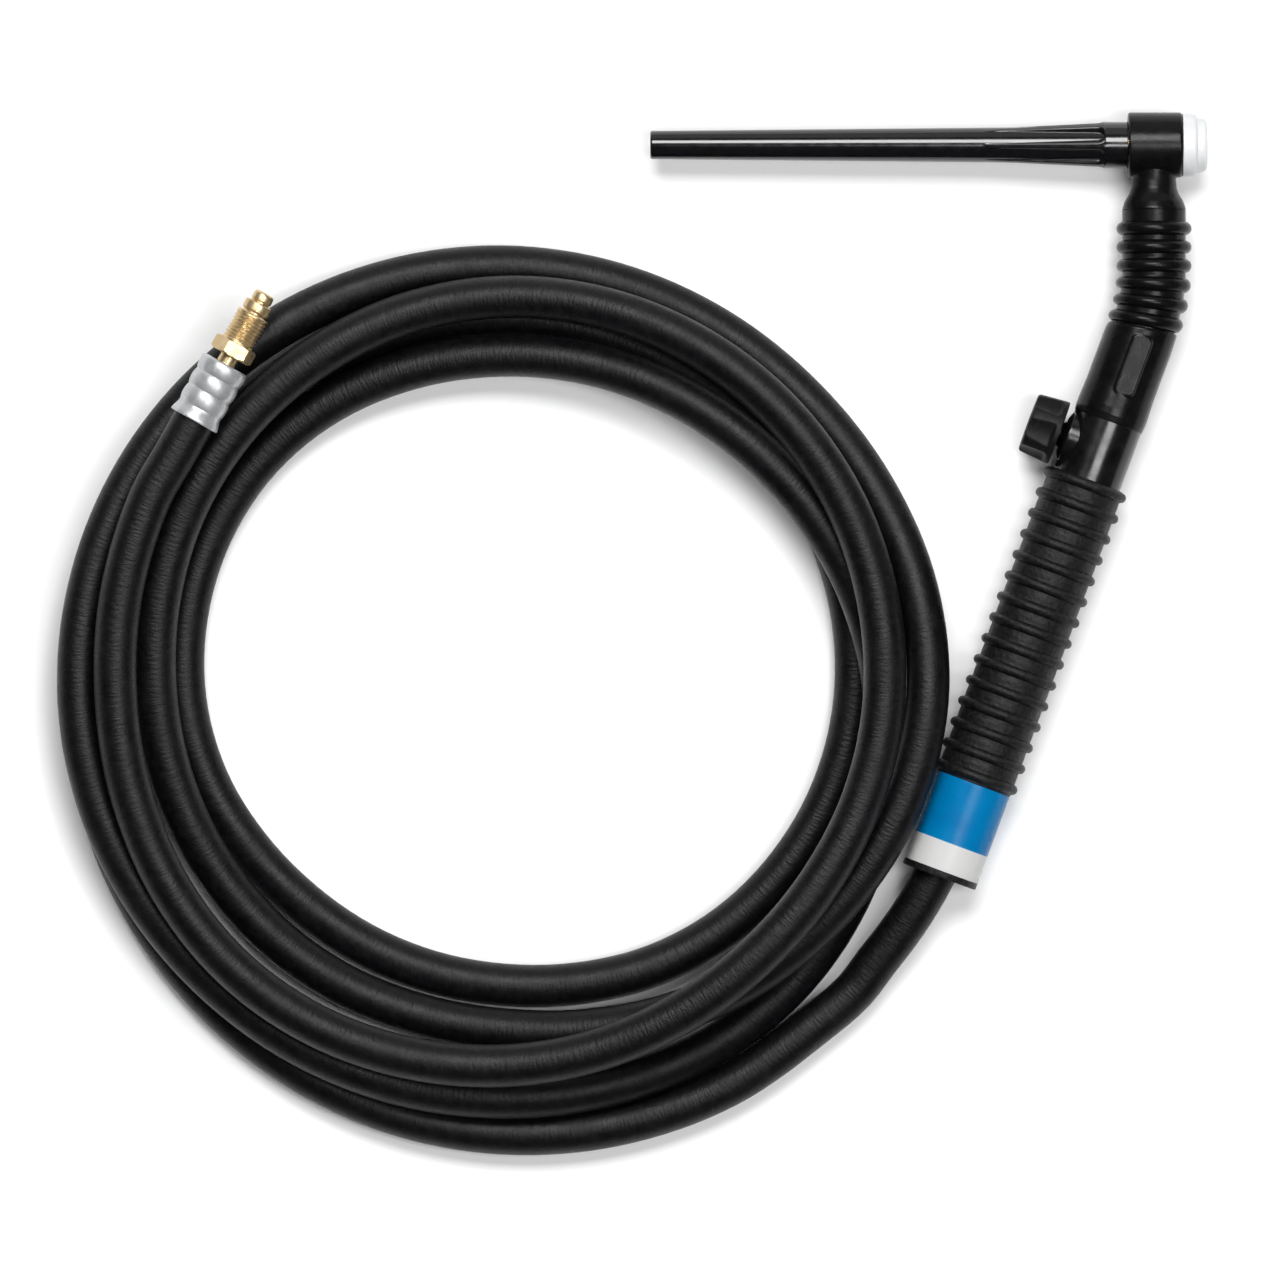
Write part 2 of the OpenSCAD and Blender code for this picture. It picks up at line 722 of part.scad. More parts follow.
module power_conductor() {
    color("peru") on_ferrule() bar(fitting_bore_r, tail_from, crimp_length - 4);
}

back_cap();
back_cap_insert();
back_cap_o_ring();
head_body();
head_cover();
cup_gasket();
neck_tube();
flex_bellows();
neck_sleeve();
valve_cover();
valve_block();
valve_bonnet();
valve_stem();
stem_o_ring();
valve_knob();
handle();
handle_label();
torch_fitting();
torch_ferrule();
hose_torch_end();
torch_conductor();
hose_lead();
hose_coil();
hose_power_end();
hose_ferrule();
power_fitting();
power_conductor();
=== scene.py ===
import math

import bmesh
import bpy
import numpy as np
from mathutils import Matrix, Vector


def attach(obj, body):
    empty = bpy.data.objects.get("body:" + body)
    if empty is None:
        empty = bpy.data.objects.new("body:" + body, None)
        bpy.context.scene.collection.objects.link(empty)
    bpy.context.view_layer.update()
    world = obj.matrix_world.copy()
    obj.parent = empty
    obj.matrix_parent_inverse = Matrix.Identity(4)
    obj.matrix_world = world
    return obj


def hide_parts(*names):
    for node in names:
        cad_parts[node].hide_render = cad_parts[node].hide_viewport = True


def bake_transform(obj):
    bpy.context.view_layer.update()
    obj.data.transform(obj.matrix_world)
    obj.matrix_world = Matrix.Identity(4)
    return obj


# A TIG torch on a pale table, seen from straight above. Pieces are built in millimetres, in the
# frame of the CAD: the origin is the collet bore's mouth, +X the way the nozzle points, +Z up.

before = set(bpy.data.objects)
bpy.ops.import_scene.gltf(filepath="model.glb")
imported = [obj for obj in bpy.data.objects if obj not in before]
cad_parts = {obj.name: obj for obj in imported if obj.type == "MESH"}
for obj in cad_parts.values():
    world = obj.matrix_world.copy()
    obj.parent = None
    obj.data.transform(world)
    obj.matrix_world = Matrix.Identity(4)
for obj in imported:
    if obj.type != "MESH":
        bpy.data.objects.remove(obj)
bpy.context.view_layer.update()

MM = 0.001
TAU = 2 * math.pi

# ---------------------------------------------------------------- places, as in the CAD

# Where the handle's axis starts, and how far it leans from the straight neck
NECK_BACK = 13.15
NECK_DROP = 43.8
NECK_ANGLE = math.radians(20.4)
# How far the bellows' top is below the head's axis, and the tangent of the neck's bend
BELLOWS_DROP = 18.6
BEND_TANGENT = 8.6
BEND_R = BEND_TANGENT / math.tan(NECK_ANGLE / 2)
BEND_START = NECK_DROP - BEND_TANGENT - BELLOWS_DROP
BEND_ARC = BEND_R * NECK_ANGLE
VALVE_AT = 45.6
# The metal ferrule at the hose's far end, as the hose lies on the table
FERRULE_MOUTH = Vector((-287, -79, 16.4))
FERRULE_ANGLE = math.radians(60.6)
TABLE_Z = -12.5


def moved(x, y, z=0.0):
    return Matrix.Translation(Vector((x, y, z)))


def turned_about_z(angle):
    return Matrix.Rotation(angle, 4, "Z")


HEAD = Matrix.Identity(4)
HANDLE = moved(-NECK_BACK, -NECK_DROP) @ turned_about_z(-math.pi / 2 - NECK_ANGLE)
VALVE = HANDLE @ moved(VALVE_AT, 0) @ turned_about_z(-math.pi / 2)
FERRULE = Matrix.Translation(FERRULE_MOUTH) @ turned_about_z(FERRULE_ANGLE)


def on_neck(length):
    """Place on the neck's path at a length below the bellows' top, with X along the path."""
    bent = min(max(length - BEND_START, 0.0), BEND_ARC)
    straight = length - BEND_START - bent
    return (
        moved(-NECK_BACK - BEND_R, -BELLOWS_DROP - BEND_START)
        @ turned_about_z(-bent / BEND_R)
        @ moved(BEND_R, -straight)
        @ turned_about_z(-math.pi / 2)
    )


# ---------------------------------------------------------------- meshes


def rounded(points, steps=5):
    """An outline of (x, r) points, where a third value rounds that corner by so many mm."""
    out = []
    for i, point in enumerate(points):
        here = Vector(point[:2])
        radius = point[2] if len(point) > 2 else 0
        if not radius or i in (0, len(points) - 1):
            out.append(tuple(here))
            continue
        before = (Vector(points[i - 1][:2]) - here).normalized()
        after = (Vector(points[i + 1][:2]) - here).normalized()
        half = before.angle(after) / 2
        reach = radius / math.tan(half)
        centre = here + (before + after).normalized() * radius / math.sin(half)
        first = here + before * reach - centre
        last = here + after * reach - centre
        sweep = first.angle_signed(last)
        for step in range(steps + 1):
            turn = Matrix.Rotation(-sweep * step / steps, 2)
            out.append(tuple(centre + turn @ first))
    return out


def spaced(x0, x1, step):
    """Even values from x0 to x1, about step apart."""
    count = max(1, round(abs(x1 - x0) / step))
    return [x0 + (x1 - x0) * i / count for i in range(count + 1)]


def refined(points, step):
    """The same outline with no stretch longer than step."""
    out = [points[0]]
    for a, b in zip(points, points[1:]):
        count = max(1, math.ceil(math.dist(a, b) / step))
        for i in range(1, count + 1):
            out.append((a[0] + (b[0] - a[0]) * i / count, a[1] + (b[1] - a[1]) * i / count))
    return out


# Segments round the pieces whose plain edge shows most
FINE = 160


def turned(outline, place=HEAD, shape=None, segments=96, loop=False):
    """A surface turned about the place's X axis. shape(x, r, angle) may change each radius, and
    place may be a function of x. An outline that ends at radius 0 is closed by a point there, and
    loop joins the outline's end to its start."""
    verts, local, rings, faces = [], [], [], []
    for x, r in outline:
        pole = r < 1e-6
        ring = []
        for j in range(1 if pole else segments):
            angle = TAU * j / segments
            radius = shape(x, r, angle) if shape and not pole else r
            spot = Vector((x, -radius * math.sin(angle), radius * math.cos(angle)))
            local.append(spot)
            if callable(place):
                verts.append(place(x) @ Vector((0, spot.y, spot.z)))
            else:
                verts.append(place @ spot)
            ring.append(len(verts) - 1)
        rings.append(ring)
    pairs = list(zip(rings, rings[1:])) + ([(rings[-1], rings[0])] if loop else [])
    for a, b in pairs:
        for j in range(segments):
            k = (j + 1) % segments
            if len(a) == 1 and len(b) == 1:
                continue
            if len(a) == 1:
                faces.append((a[0], b[k], b[j]))
            elif len(b) == 1:
                faces.append((a[j], a[k], b[0]))
            else:
                faces.append((a[j], a[k], b[k], b[j]))
    return verts, faces, local


def made(name, parts, sharp=32.0):
    """One object from surfaces as turned() gives them, with the attribute "local" in mm. Edges
    that turn by more than sharp degrees are shaded as sharp."""
    verts, faces, local = [], [], []
    for part_verts, part_faces, part_local in parts:
        start = len(verts)
        verts += [v * MM for v in part_verts]
        local += part_local
        faces += [tuple(start + i for i in face) for face in part_faces]
    mesh = bpy.data.meshes.new(name)
    mesh.from_pydata(verts, [], faces)
    spots = mesh.attributes.new("local", "FLOAT_VECTOR", "POINT")
    spots.data.foreach_set("vector", np.array([tuple(v) for v in local], np.float32).ravel())
    tidy(mesh, sharp)
    obj = bpy.data.objects.new(name, mesh)
    bpy.context.scene.collection.objects.link(obj)
    return obj


def turned_piece(name, outline, place, sharp=32.0, **how):
    return made(name, [turned(outline, place, **how)], sharp)


def tidy(mesh, sharp):
    """Faces that look outwards, shaded smooth but for edges sharper than that many degrees."""
    work = bmesh.new()
    work.from_mesh(mesh)
    bmesh.ops.recalc_face_normals(work, faces=work.faces)
    work.to_mesh(mesh)
    work.free()
    mesh.shade_smooth()
    mesh.set_sharp_from_angle(angle=math.radians(sharp))


def applied(obj, kind, **settings):
    """Adds one modifier to obj and applies it."""
    modifier = obj.modifiers.new(kind.title(), kind)
    for key, value in settings.items():
        setattr(modifier, key, value)
    graph = bpy.context.evaluated_depsgraph_get()
    mesh = bpy.data.meshes.new_from_object(obj.evaluated_get(graph))
    obj.modifiers.remove(modifier)
    obj.data = mesh


def bored(obj, bores, sharp):
    """Cuts bores out of a piece, whose grain is then laid out in the frame's own millimetres."""
    for bore in bores:
        cutter = made("bore", [bore])
        applied(obj, "BOOLEAN", operation="DIFFERENCE", object=cutter, solver="EXACT")
        bpy.data.objects.remove(cutter)
    mesh = obj.data
    if "local" not in mesh.attributes:
        mesh.attributes.new("local", "FLOAT_VECTOR", "POINT")
    places = np.array([v.co for v in mesh.vertices], np.float32) / MM
    mesh.attributes["local"].data.foreach_set("vector", places.ravel())
    tidy(mesh, sharp)


def dressed(obj, material, body, *nodes):
    """Gives a piece its material and slot, its body and the nodes that it stands for."""
    obj.data.materials.append(material)
    if body:
        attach(obj, body)
    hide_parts(*nodes)
    return obj


def smoothstep(a, b, x):
    """0 up to a, 1 from b on, and a smooth rise between them."""
    t = min(max((x - a) / (b - a), 0.0), 1.0)
    return t * t * (3 - 2 * t)


def soft_min(a, b, width):
    """The lesser of two values, blended over a width so that their crease is a small fillet."""
    h = min(max(0.5 + 0.5 * (b - a) / width, 0.0), 1.0)
    return b + (a - b) * h - width * h * (1 - h)


def grooved(r, angle, count, groove_r, bottom, edge, start):
    """Radius r cut by a ring of round grooves whose floors are at radius bottom. The first groove
    is at the angle start, and edge is the fillet at a groove's lip."""
    pitch = TAU / count
    off = (angle - start + pitch / 2) % pitch - pitch / 2
    reach = bottom + groove_r
    side = reach * math.sin(off)
    if abs(side) >= groove_r:
        return r
    return soft_min(r, reach * math.cos(off) - math.sqrt(groove_r**2 - side**2), edge)


# ---------------------------------------------------------------- materials


NOISE_ROUGHNESS = 0.55


class Surface:
    """A Principled material whose grain is laid out in millimetres: on the attribute "local" that
    made() gives a piece, or on the object's own coordinates for a piece kept from the CAD."""

    def __init__(self, name, colour, roughness, metallic=0.0, on_cad=False, **sockets):
        self.material = bpy.data.materials.new(name)
        self.material.use_nodes = True
        self.tree = self.material.node_tree
        self.shader = self.tree.nodes["Principled BSDF"]
        self.set(self.shader, "Base Color", (*colour, 1.0))
        self.set(self.shader, "Roughness", roughness)
        self.set(self.shader, "Metallic", metallic)
        for key, value in sockets.items():
            self.set(self.shader, key.replace("_", " "), value)
        self.colour = colour
        self.roughness = roughness
        self.normal = None
        self.place = self.cad_place() if on_cad else self.local_place()

    def set(self, node, socket, value):
        target = node.inputs[socket]
        if isinstance(value, bpy.types.NodeSocket):
            self.tree.links.new(value, target)
        else:
            target.default_value = value

    def node(self, kind, **inputs):
        """The first output of a new node. An input at_2 is the socket of that number."""
        new_node = self.tree.nodes.new(kind)
        for key, value in inputs.items():
            if key.startswith("at_"):
                self.set(new_node, int(key[3:]), value)
            elif hasattr(new_node, key):
                setattr(new_node, key, value)
            else:
                self.set(new_node, key, value)
        return new_node.outputs[0]

    def local_place(self):
        attribute = self.tree.nodes.new("ShaderNodeAttribute")
        attribute.attribute_name = "local"
        return attribute.outputs["Vector"]

    def cad_place(self):
        coordinates = self.tree.nodes.new("ShaderNodeTexCoord")
        return self.node(
            "ShaderNodeVectorMath",
            operation="SCALE",
            at_0=coordinates.outputs["Object"],
            at_3=1000.0,
        )

    def along(self, x, y, z):
        """The place scaled on each axis, so that grain can be drawn out along one of them."""
        return self.node(
            "ShaderNodeVectorMath", operation="MULTIPLY", at_0=self.place, at_1=(x, y, z)
        )

    def noise(self, scale, detail=4.0, place=None):
        return self.node(
            "ShaderNodeTexNoise",
            Vector=place or self.place,
            Scale=scale,
            Detail=detail,
            Roughness=NOISE_ROUGHNESS,
        )

    def mapped(self, value, low, high, start=0.3, end=0.7):
        """From low to high as the value goes from start to end."""
        return self.node(
            "ShaderNodeMapRange", at_0=value, at_1=start, at_2=end, at_3=low, at_4=high
        )

    def bump(self, height, depth_mm):
        """Relief of so many mm, laid over any relief before it."""
        node = self.tree.nodes.new("ShaderNodeBump")
        self.set(node, "Height", height)
        self.set(node, "Distance", depth_mm * MM)
        self.set(node, "Strength", 1.0)
        if self.normal:
            self.set(node, "Normal", self.normal)
        self.normal = node.outputs["Normal"]
        self.set(self.shader, "Normal", self.normal)
        return self

    def worn(self, value, spread):
        """Roughness that wanders by spread with a value from 0 to 1."""
        self.set(
            self.shader,
            "Roughness",
            self.mapped(value, max(self.roughness - spread, 0.02), self.roughness + spread),
        )
        return self

    def mixed(self, share, first, second):
        """A colour between two, each of which is a linear RGB or another node's output."""
        mix = self.tree.nodes.new("ShaderNodeMix")
        mix.data_type = "RGBA"
        self.set(mix, 0, share)
        for socket, colour in ((6, first), (7, second)):
            from_node = isinstance(colour, bpy.types.NodeSocket)
            self.set(mix, socket, colour if from_node else (*colour, 1.0))
        return mix.outputs[2]

    def tinted(self, value, other, start=0.3, end=0.7):
        """Colour that wanders from the surface's own to another as the value rises."""
        share = self.mapped(value, 0.0, 1.0, start, end)
        self.set(self.shader, "Base Color", self.mixed(share, self.colour, other))
        return self


def cap_plastic():
    s = Surface("cap_plastic", (0.0025, 0.0025, 0.003), 0.15, IOR=1.56)
    s.worn(s.noise(0.25, 5), 0.035)
    s.tinted(s.noise(0.5, 3), (0.005, 0.005, 0.006))
    return s.bump(s.noise(0.45, 2, s.along(0.35, 1, 1)), 0.005)


def cover_rubber():
    s = Surface("cover_rubber", (0.0022, 0.0022, 0.0025), 0.28, Specular_IOR_Level=0.17)
    s.worn(s.noise(0.22, 5), 0.05)
    s.tinted(s.noise(0.4, 4), (0.0045, 0.0045, 0.005))
    s.bump(s.noise(0.35, 3), 0.05)
    return s.bump(s.noise(3.0, 3), 0.006)


def handle_plastic():
    s = Surface("handle_plastic", (0.003, 0.003, 0.0033), 0.5, Specular_IOR_Level=0.26)
    s.worn(s.noise(0.35, 6), 0.08)
    s.tinted(s.noise(0.9, 7), (0.011, 0.011, 0.0115), 0.42, 0.7)
    s.bump(s.noise(0.55, 5), 0.3)
    return s.bump(s.noise(2.6, 5), 0.09)


def hose_rubber():
    s = Surface("hose_rubber", (0.0012, 0.0012, 0.0017), 0.45, Specular_IOR_Level=0.25)
    s.worn(s.noise(0.12, 5), 0.06)
    s.tinted(s.noise(0.45, 6), (0.0045, 0.0045, 0.0052), 0.4, 0.72)
    s.bump(s.noise(0.5, 3, s.along(2.4, 0.6, 0.6)), 0.2)
    return s.bump(s.noise(2.2, 4), 0.06)


def gasket_plastic():
    s = Surface("gasket_white", (0.66, 0.67, 0.68), 0.36, Subsurface_Weight=0.25)
    s.set(s.shader, "Subsurface Radius", (1.0, 1.0, 1.0))
    s.set(s.shader, "Subsurface Scale", 0.0012)
    s.worn(s.noise(0.3, 4), 0.05)
    s.tinted(s.noise(0.25, 4), (0.62, 0.63, 0.64))
    return s.bump(s.noise(1.5, 3, s.along(4, 1, 1)), 0.006)


def metal(name, colour, roughness, other, lines=0.008, on_cad=False, metallic=1.0):
    """Turned metal of two close colours, with fine tool lines so many mm deep round its axis."""
    s = Surface(name, colour, roughness, metallic, on_cad)
    s.worn(s.noise(0.5, 5), roughness * 0.3)
    s.tinted(s.noise(0.35, 4), other)
    return s.bump(s.noise(1.2, 3, s.along(6, 1, 1)), lines)


def gloss_cover():
    s = Surface("cover_gloss", (0.0015, 0.0015, 0.0018), 0.22, IOR=1.47)
    s.worn(s.noise(0.25, 5), 0.04)
    s.tinted(s.noise(0.3, 3), (0.006, 0.006, 0.0065))
    return s.bump(s.noise(0.4, 3), 0.02)


def knob_plastic():
    s = Surface("knob_plastic", (0.004, 0.004, 0.0045), 0.48, Specular_IOR_Level=0.16)
    s.worn(s.noise(0.4, 5), 0.06)
    s.tinted(s.noise(0.8, 5), (0.009, 0.009, 0.0095), 0.4, 0.75)
    return s.bump(s.noise(1.8, 4), 0.02)


def seal_rubber():
    s = Surface("seal_rubber", (0.012, 0.012, 0.012), 0.4, on_cad=True)
    s.worn(s.noise(0.8, 4), 0.06)
    return s.bump(s.noise(2.0, 3), 0.01)


LABEL_EDGE = 166.2
LABEL_EDGE_BLUR = 0.06


def label_film():
    """A plain blue film that turns white past LABEL_EDGE on the handle's axis."""
    s = Surface("label_film", (0.001, 0.135, 0.34), 0.28, Specular_IOR_Level=0.12)
    along = s.node("ShaderNodeSeparateXYZ", Vector=s.place)
    edge = s.mapped(along, 0.0, 1.0, LABEL_EDGE - LABEL_EDGE_BLUR, LABEL_EDGE + LABEL_EDGE_BLUR)
    wander = s.mapped(s.noise(0.12, 2), 0.0, 1.0)
    blue = s.mixed(wander, (0.0, 0.125, 0.32), (0.0, 0.155, 0.36))
    s.set(s.shader, "Base Color", s.mixed(edge, blue, (0.52, 0.52, 0.515)))
    s.worn(s.noise(0.3, 4), 0.04)
    return s.bump(s.noise(0.3, 2), 0.012)


# ---------------------------------------------------------------- camera, table and lights

# The picture's side in pixels, its pixels to a mm and the pixel that shows the frame's origin
PHOTO_SIDE = 1280
PHOTO_SCALE = 3.5
PHOTO_ORIGIN = (1200, 145)
# In metres, far enough for the picture to be nearly free of perspective
CAMERA_HEIGHT = 4.0
SENSOR = 36.0
TABLE_REACH = 3.0


def make_camera():
    view_width = PHOTO_SIDE / PHOTO_SCALE * MM
    data = bpy.data.cameras.new("camera")
    data.sensor_width = SENSOR
    data.lens = SENSOR * CAMERA_HEIGHT / view_width
    data.clip_end = 50
    camera = bpy.data.objects.new("camera", data)
    camera.location = (
        (PHOTO_SIDE / 2 - PHOTO_ORIGIN[0]) / PHOTO_SCALE * MM,
        (PHOTO_ORIGIN[1] - PHOTO_SIDE / 2) / PHOTO_SCALE * MM,
        CAMERA_HEIGHT,
    )
    bpy.context.scene.collection.objects.link(camera)
    bpy.context.scene.camera = camera


def make_table():
    mesh = bpy.data.meshes.new("table")
    corners = ((-1, -1), (1, -1), (1, 1), (-1, 1))
    mesh.from_pydata(
        [(x * TABLE_REACH, y * TABLE_REACH, TABLE_Z * MM) for x, y in corners],
        [],
        [(0, 1, 2, 3)],
    )
    table = bpy.data.objects.new("table", mesh)
    bpy.context.scene.collection.objects.link(table)
    paper = bpy.data.materials.new("table")
    paper.use_nodes = True
    shader = paper.node_tree.nodes["Principled BSDF"]
    shader.inputs["Base Color"].default_value = (0.88, 0.88, 0.88, 1)
    shader.inputs["Roughness"].default_value = 0.7
    shader.inputs["Specular IOR Level"].default_value = 0.2
    mesh.materials.append(paper)


def add_light(name, place, aim, size, radiance, glossy=True):
    """An area light in metres, with its brightness in watts per square metre and steradian. A
    light that isn't glossy lights the piece but isn't mirrored in it."""
    data = bpy.data.lights.new(name, "AREA")
    data.shape = "RECTANGLE"
    data.size, data.size_y = size
    data.energy = radiance * math.pi * size[0] * size[1]
    light = bpy.data.objects.new(name, data)
    light.visible_glossy = glossy
    light.location = place
    light.rotation_euler = (Vector(aim) - Vector(place)).to_track_quat("-Z", "Y").to_euler()
    bpy.context.scene.collection.objects.link(light)


def make_lights():
    """A wide light beyond the picture's top gives the cap and coil their highlight, and a narrow
    one at the right gives the handle and neck theirs. The wall fills the rims that face up the
    picture, and the fill opens the shadows."""
    middle = (-0.12, -0.1, 0)
    neck = (-0.03, -0.09, 0)
    add_light("upper_left", (-0.2, 0.92, 2.1), middle, (1.3, 0.8), 15)
    add_light("right", (0.46, -0.2, 2.1), neck, (0.4, 0.92), 14)
    add_light("wall", (-0.1, 2.4, 0.9), middle, (4.0, 1.6), 0.6)
    add_light("fill", (0.3, -1.1, 2.3), middle, (2.5, 2.0), 1.7, glossy=False)
    world = bpy.data.worlds.new("room")
    world.use_nodes = True
    world.node_tree.nodes["Background"].inputs["Color"].default_value = (0.95, 0.97, 1.0, 1)
    world.node_tree.nodes["Background"].inputs["Strength"].default_value = 0.04
    bpy.context.scene.world = world
    bpy.context.scene.view_settings.view_transform = "Standard"


# ---------------------------------------------------------------- hose

HOSE_D = 12.2
HOSE_R = HOSE_D / 2
HOSE_SIDES = 36
HOSE_STEP = 4.0
LAYER_STEP = HOSE_D + 0.45
COIL_CENTRE = (-199.1, -158.6)
COIL_START = -45
STATIONS_PER_LOOP = 8
RINGS_PER_LOOP = 24

# Radius in mm and height in hose layers of each eighth of a loop, clockwise from above
COIL_STATIONS = [
    (129, 0), (124, 0), (119.5, 0), (118.5, 0), (112, 0), (109.9, 0), (106.5, 0), (100.5, 0),
    (91, 0), (81.5, 0), (81.5, 0), (91, 0), (98, 0), (98.5, 0.5), (101.5, 1.2), (109, 0.8),
    (115.5, 0.08), (113.5, 0.65), (115, 0.95), (121, 1.05),
    (124.2, 0.6), (124, 0.05), (122, 0.15), (121, 1.4),
    (107, 1.12), (94.1, 0.48), (94.1, 0.55), (98.9, 0.9),
    (108.5, 1.05), (115, 1.05), (114, 1.85), (108.5, 2),
    (102.5, 2.1), (104, 1.75), (107.9, 1.85), (110, 1.85), (118, 1.8),
]
# Where the path leaves the coil for the ferrule, in stations
COIL_LAST_STATION = 35 + 2 / 3

# From inside the handle's bore down to the table, with the place where the hose comes out
LEAD_ROUTE = [
    (-66.2, -186.4, 0), (-70.7, -197.7, -0.4), (-75.8, -208.5, -1.1), (-80.3, -216.6, -2.2),
    (-86, -225.2, -3.7), (-92.3, -233.4, -5.2),
]


def through(a, b, c, d, t):
    """Smooth curve through four values, at t between the second and the third."""
    return 0.5 * (
        2 * b + (c - a) * t + (2 * a - 5 * b + 4 * c - d) * t * t + (3 * b - a - 3 * c + d) * t**3
    )


def coil_point(k):
    """The hose's centre at station k of the coil, which may be a fraction."""
    last = len(COIL_STATIONS) - 1
    i = min(math.floor(k), last - 1)
    near = [Vector(COIL_STATIONS[min(max(i + j, 0), last)]) for j in (-1, 0, 1, 2)]
    radius, layers = through(*near, k - i)
    angle = math.radians(COIL_START - k * 360 / STATIONS_PER_LOOP)
    return Vector(
        (
            COIL_CENTRE[0] + radius * math.cos(angle),
            COIL_CENTRE[1] + radius * math.sin(angle),
            TABLE_Z + HOSE_R + LAYER_STEP * layers,
        )
    )


def hose_route():
    """Places along the hose: the lead, the coil's loops and the way into the ferrule."""
    step = STATIONS_PER_LOOP / RINGS_PER_LOOP
    heading = (coil_point(0.1) - coil_point(0)).normalized()
    start = coil_point(0) - heading * HOSE_D
    rings = round(COIL_LAST_STATION / step) + 1
    loops = [coil_point(i * step) for i in range(rings)]
    ahead = Vector((math.cos(FERRULE_ANGLE), math.sin(FERRULE_ANGLE), 0))
    tail = [FERRULE_MOUTH - ahead * HOSE_D, FERRULE_MOUTH.copy(), FERRULE_MOUTH + ahead * 4]
    return [Vector(p) for p in LEAD_ROUTE] + [start] + loops + tail


def smooth_curve(points, step):
    """A curve through the points with even speed, sampled about every step mm."""
    out = []
    for i in range(len(points) - 1):
        a = points[max(i - 1, 0)]
        b, c = points[i], points[i + 1]
        d = points[min(i + 2, len(points) - 1)]
        gap = (c - b).length
        before = (b - a).normalized() if i else (c - b).normalized()
        after = (d - c).normalized() if (d - c).length else (c - b).normalized()
        middle = (c - b).normalized()
        start_way = (before + middle).normalized() * gap
        end_way = (middle + after).normalized() * gap
        count = max(1, round(gap / step))
        for j in range(count):
            t = j / count
            out.append(
                b * (2 * t**3 - 3 * t**2 + 1)
                + start_way * (t**3 - 2 * t**2 + t)
                + c * (3 * t**2 - 2 * t**3)
                + end_way * (t**3 - t**2)
            )
    out.append(points[-1])
    return out


def make_hose():
    """The hose, whose grain runs along its length, and the path of its centre in mm."""
    path = smooth_curve(hose_route(), HOSE_STEP)
    sides = HOSE_SIDES
    verts, local, faces = [], [], []
    run = 0.0
    for i, here in enumerate(path):
        ahead = (path[min(i + 1, len(path) - 1)] - path[max(i - 1, 0)]).normalized()
        side = ahead.cross(Vector((0, 0, 1))).normalized()
        up = side.cross(ahead)
        if i:
            run += (here - path[i - 1]).length
        for j in range(sides):
            angle = TAU * j / sides
            out = side * math.sin(angle) + up * math.cos(angle)
            verts.append(here + out * HOSE_R)
            local.append(Vector((run, HOSE_R * math.sin(angle), HOSE_R * math.cos(angle))))
    for i in range(len(path) - 1):
        for j in range(sides):
            k = (j + 1) % sides
            faces.append((i * sides + j, i * sides + k, (i + 1) * sides + k, (i + 1) * sides + j))
    faces.append(tuple(range(sides)))
    faces.append(tuple(range((len(path) - 1) * sides, len(path) * sides)))
    hose = made("hose", [(verts, faces, local)], 60)
    dressed(hose, hose_rubber().material, "handle", "hose_lead", "hose_coil")
    return hose, path


# ---------------------------------------------------------------- hose end

# The ferrule's three grooves, and how far each bulge between them and the shoulder stands out
GROOVES = (3.9, 8.8, 13.8)
BULGES = (0.42, 0.5, 0.62)
FERRULE_LENGTH = 18.5
FERRULE_MOUTH_R = 7.42
FERRULE_R = 6.56
FERRULE_BORE_R = 2.9
SHOULDER_FROM = FERRULE_LENGTH - 0.8


def ferrule_outline():
    """A flared mouth, then three bulges and a rounded shoulder."""
    outline = [(0.0, HOSE_R), (0.0, 7.3), (0.15, FERRULE_MOUTH_R)]
    for x in spaced(0.4, GROOVES[0], 0.25):
        outline.append((x, FERRULE_MOUTH_R - 0.86 * smoothstep(0.2, GROOVES[0], x)))
    edges = [*GROOVES, FERRULE_LENGTH + 0.6]
    for start, end, rise in zip(edges, edges[1:], BULGES):
        for x in spaced(start, min(end, SHOULDER_FROM), 0.25)[1:]:
            share = (x - start) / (end - start)
            outline.append((x, FERRULE_R + rise * math.sin(math.pi * share) ** 0.7))
    tip = outline[-1][1]
    for step in range(1, 9):
        angle = step / 8 * math.pi / 2
        outline.append(
            (SHOULDER_FROM + 0.8 * math.sin(angle), tip - 1.1 * (1 - math.cos(angle)))
        )
    end_wall = FERRULE_LENGTH - 1.3
    outline += [(FERRULE_LENGTH, FERRULE_BORE_R), (end_wall, FERRULE_BORE_R), (end_wall, HOSE_R)]
    return outline


def make_ferrule():
    ferrule = turned_piece(
        "hose_ferrule_piece", ferrule_outline(), FERRULE, 50, segments=120, loop=True
    )
    s = metal("ferrule_metal", (0.53, 0.54, 0.55), 0.38, (0.44, 0.45, 0.46), 0.006, metallic=0.6)
    s.bump(s.noise(0.4, 3), 0.02)
    return dressed(ferrule, s.material, "handle", "hose_ferrule")


HEX_FROM, HEX_TO = 21.0, 25.3
HEX_CORNER_R = 6.4
HEX_TURN = math.radians(40)
HEX_CHAMFER_SLOPE = 2.2
THREAD_FROM, THREAD_TO = 25.3, 34.4
THREAD_R = 4.76
THREAD_PITCH = 25.4 / 24
THREAD_DEPTH = 0.42


def hex_shape(x, r, angle):
    """A hex whose corners are chamfered by a cone at each end."""
    if r < HEX_CORNER_R - 0.01:
        return r
    sixth = TAU / 6
    off = (angle - HEX_TURN) % sixth - sixth / 2
    flat_r = HEX_CORNER_R * math.cos(sixth / 2)
    cone_r = flat_r - 0.1 + min(x - HEX_FROM, HEX_TO - x) * HEX_CHAMFER_SLOPE
    return min(flat_r / math.cos(off), cone_r)


